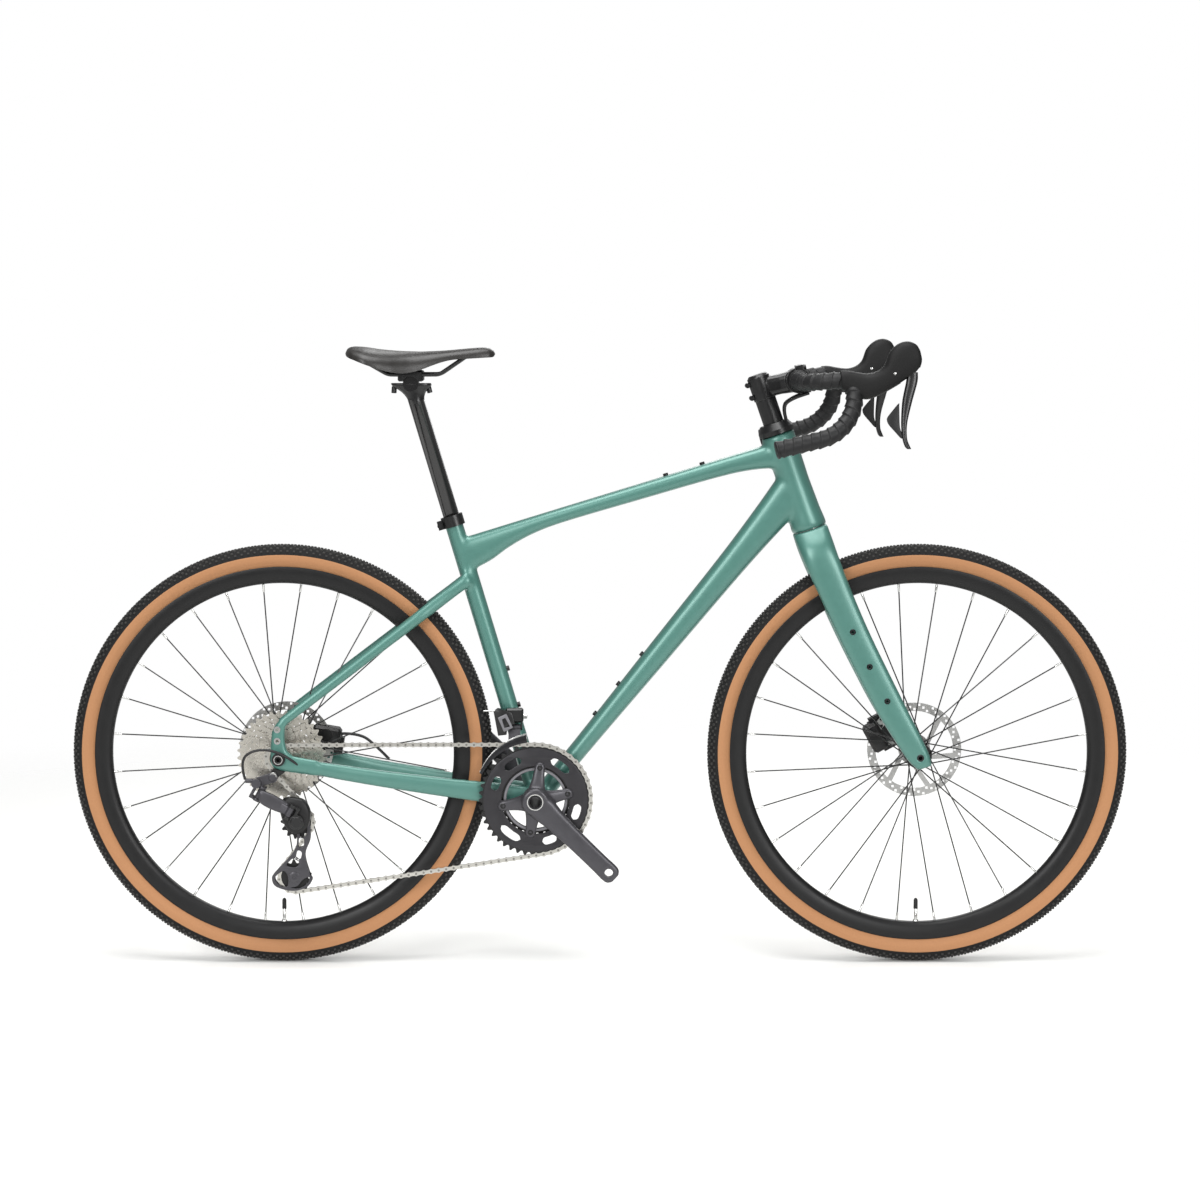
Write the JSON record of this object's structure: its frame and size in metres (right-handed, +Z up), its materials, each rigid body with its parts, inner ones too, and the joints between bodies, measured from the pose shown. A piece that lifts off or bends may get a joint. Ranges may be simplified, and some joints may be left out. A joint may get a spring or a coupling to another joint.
{
  "type": "gravel bicycle",
  "caption": "Drop-bar gravel bicycle with tan-wall tyres, disc brakes, sloping top tube and derailleur gears; it steers, rolls, pedals, shifts and brakes.",
  "frame": {"origin": "on the ground midway between the two wheel contacts", "axes": "+X forward, +Y to the rider's left, +Z up"},
  "size_m": [1.778, 0.5226, 1.0406],
  "materials": {
    "frame_paint": "satin metallic",
    "black_alloy": "satin",
    "grey_alloy": "satin",
    "steel": "brushed",
    "tyre": "matte tread with tan sidewalls",
    "rubber": "matte",
    "plastic": "matte",
    "saddle_skin": "matte",
    "wrapped_tape": "matte"
  },
  "bodies": {
    "frame": {"front_triangle": "frame_paint", "frame_bolts": "steel", "rear_triangle": "frame_paint", "derailleur_hanger": "black_alloy", "headset_bearings": "steel", "bottom_bracket_cups": "black_alloy", "seat_clamp": "black_alloy", "rear_thru_axle": "black_alloy", "rear_caliper": "black_alloy", "frame_hoses": "rubber", "fd_body": "black_alloy", "chain": "steel", "rd_knuckle": "grey_alloy"},
    "fork": {"fork": "frame_paint", "headset_cover": "black_alloy", "stem": "black_alloy", "stem_faceplate": "black_alloy", "stem_bolts": "steel", "handlebar": "black_alloy", "bar_tape": "wrapped_tape", "lever_hood_right": "rubber", "lever_hood_left": "rubber", "front_thru_axle": "black_alloy", "front_caliper": "black_alloy", "control_hoses": "rubber"},
    "front_wheel": {"front_tyre": "tyre", "front_rim": "black_alloy", "front_spokes": "black_alloy", "front_hub": "black_alloy", "front_disc": "steel"},
    "rear_wheel": {"rear_tyre": "tyre", "rear_rim": "black_alloy", "rear_spokes": "black_alloy", "rear_hub": "black_alloy", "rear_disc": "steel"},
    "cassette": {"cassette": "steel"},
    "crank": {"crank_right": "grey_alloy", "chainrings": "grey_alloy", "crank_left": "grey_alloy"},
    "seatpost": {"seatpost": "black_alloy"},
    "saddle": {"saddle_cradle": "black_alloy", "saddle_rails": "black_alloy", "saddle_shell": "plastic", "saddle_cover": "saddle_skin"},
    "brake_lever_right": {"brake_lever_right": "black_alloy"},
    "brake_lever_left": {"brake_lever_left": "black_alloy"},
    "shift_paddle_right": {"shift_paddle_right": "plastic"},
    "shift_paddle_left": {"shift_paddle_left": "plastic"},
    "front_pad_inner": {"front_pad_inner": "steel"},
    "front_pad_outer": {"front_pad_outer": "steel"},
    "rear_pad_inner": {"rear_pad_inner": "steel"},
    "rear_pad_outer": {"rear_pad_outer": "steel"},
    "rd_outer_link": {"rd_outer_link": "grey_alloy"},
    "rd_inner_link": {"rd_inner_link": "grey_alloy"},
    "rd_p_knuckle": {"rd_p_knuckle": "grey_alloy"},
    "rd_cage": {"rd_cage": "grey_alloy"},
    "rd_pulley_upper": {"rd_pulley_upper": "plastic"},
    "rd_pulley_lower": {"rd_pulley_lower": "plastic"},
    "fd_link": {"fd_link": "black_alloy"},
    "fd_cage": {"fd_cage": "steel"}
  },
  "joints": [
    {"name": "steering", "type": "hinge", "parent": "frame", "child": "fork", "pos_m": [0.35258, 0, 0.73327], "axis": [-0.3256, 0, 0.9455], "range_deg": [-60, 60]},
    {"name": "front_wheel_spin", "type": "hinge", "parent": "fork", "child": "front_wheel", "pos_m": [0.535, 0, 0.354], "axis": [0, 1, 0], "continuous": true},
    {"name": "rear_wheel_spin", "type": "hinge", "parent": "frame", "child": "rear_wheel", "pos_m": [-0.535, 0, 0.354], "axis": [0, 1, 0], "continuous": true},
    {"name": "crank_spin", "type": "hinge", "parent": "frame", "child": "crank", "pos_m": [-0.10803, 0, 0.282], "axis": [0, 1, 0], "continuous": true, "deforming": ["chain"]},
    {"name": "cassette_spin", "type": "hinge", "parent": "frame", "child": "cassette", "pos_m": [-0.535, 0, 0.354], "axis": [0, 1, 0], "continuous": true},
    {"name": "rd_shift", "type": "hinge", "parent": "frame", "child": "rd_outer_link", "pos_m": [-0.566, -0.088, 0.298], "axis": [0.4813, 0, 0.8766], "range_deg": [0, 37.5], "stiffness_Nm_per_rad": 2, "deforming": ["chain"]},
    {"name": "rd_inner_pivot", "type": "hinge", "parent": "frame", "child": "rd_inner_link", "pos_m": [-0.566, -0.074, 0.298], "axis": [0.4813, 0, 0.8766], "range_deg": [0, 37.5]},
    {"name": "rd_knuckle_pivot", "type": "hinge", "parent": "rd_outer_link", "child": "rd_p_knuckle", "pos_m": [-0.5152, -0.10353, 0.27011], "axis": [0.4813, 0, 0.8766], "range_deg": [-37.5, 0]},
    {"name": "rd_cage_swing", "type": "hinge", "parent": "rd_p_knuckle", "child": "rd_cage", "pos_m": [-0.504, -0.0655, 0.252], "axis": [0, 1, 0], "range_deg": [-35, 40], "stiffness_Nm_per_rad": 1, "deforming": ["chain"]},
    {"name": "rd_pulley_upper_spin", "type": "hinge", "parent": "rd_cage", "child": "rd_pulley_upper", "pos_m": [-0.505, -0.0655, 0.247], "axis": [0, 1, 0], "continuous": true},
    {"name": "rd_pulley_lower_spin", "type": "hinge", "parent": "rd_cage", "child": "rd_pulley_lower", "pos_m": [-0.51041, -0.0655, 0.15516], "axis": [0, 1, 0], "continuous": true},
    {"name": "fd_shift", "type": "hinge", "parent": "frame", "child": "fd_link", "pos_m": [-0.14366, -0.024, 0.40077], "axis": [1, 0, 0], "range_deg": [0, 14.5], "stiffness_Nm_per_rad": 2, "deforming": ["chain"]},
    {"name": "fd_cage_pivot", "type": "hinge", "parent": "fd_link", "child": "fd_cage", "pos_m": [-0.14366, -0.03715, 0.37381], "axis": [1, 0, 0], "range_deg": [-14.5, 0]},
    {"name": "seatpost_height", "type": "slide", "parent": "frame", "child": "seatpost", "axis": [-0.2874, 0, 0.9578], "range_m": [-0.09, 0.05]},
    {"name": "saddle_tilt", "type": "hinge", "parent": "seatpost", "child": "saddle", "pos_m": [-0.31665, 0, 0.97738], "axis": [0, 1, 0], "range_deg": [-8, 8]},
    {"name": "brake_lever_right_pull", "type": "hinge", "parent": "fork", "child": "brake_lever_right", "pos_m": [0.4746, -0.214, 0.99988], "axis": [0, 1, 0], "range_deg": [0, 22], "stiffness_Nm_per_rad": 3},
    {"name": "shift_paddle_right_push", "type": "hinge", "parent": "brake_lever_right", "child": "shift_paddle_right", "pos_m": [0.47841, -0.22252, 0.9462], "axis": [-0.0131, -0.2166, -0.9762], "range_deg": [0, 18], "stiffness_Nm_per_rad": 0.3},
    {"name": "brake_lever_left_pull", "type": "hinge", "parent": "fork", "child": "brake_lever_left", "pos_m": [0.4746, 0.214, 0.99988], "axis": [0, 1, 0], "range_deg": [0, 22], "stiffness_Nm_per_rad": 3},
    {"name": "shift_paddle_left_push", "type": "hinge", "parent": "brake_lever_left", "child": "shift_paddle_left", "pos_m": [0.47841, 0.22252, 0.9462], "axis": [0.0131, -0.2166, 0.9762], "range_deg": [0, 18], "stiffness_Nm_per_rad": 0.3},
    {"name": "front_pad_inner_slide", "type": "slide", "parent": "fork", "child": "front_pad_inner", "axis": [0, 1, 0], "range_m": [0, 0.00031]},
    {"name": "front_pad_outer_slide", "type": "slide", "parent": "fork", "child": "front_pad_outer", "axis": [0, -1, 0], "range_m": [0, 0.00031]},
    {"name": "rear_pad_inner_slide", "type": "slide", "parent": "frame", "child": "rear_pad_inner", "axis": [0, 1, 0], "range_m": [0, 0.00031]},
    {"name": "rear_pad_outer_slide", "type": "slide", "parent": "frame", "child": "rear_pad_outer", "axis": [0, -1, 0], "range_m": [0, 0.00031]}
  ],
  "couplings": [
    {"joint": "cassette_spin", "follows": "crank_spin", "ratio": 4.1818},
    {"joint": "rd_pulley_upper_spin", "follows": "crank_spin", "ratio": -3.5385},
    {"joint": "rd_pulley_lower_spin", "follows": "crank_spin", "ratio": 3.5385},
    {"joint": "rd_inner_pivot", "follows": "rd_shift", "ratio": 1},
    {"joint": "rd_knuckle_pivot", "follows": "rd_shift", "ratio": -1},
    {"joint": "fd_cage_pivot", "follows": "fd_shift", "ratio": -1},
    {"joint": "front_pad_inner_slide", "follows": "brake_lever_left_pull", "m_per_rad": 0.00078},
    {"joint": "front_pad_outer_slide", "follows": "brake_lever_left_pull", "m_per_rad": 0.00078},
    {"joint": "rear_pad_inner_slide", "follows": "brake_lever_right_pull", "m_per_rad": 0.00078},
    {"joint": "rear_pad_outer_slide", "follows": "brake_lever_right_pull", "m_per_rad": 0.00078}
  ]
}
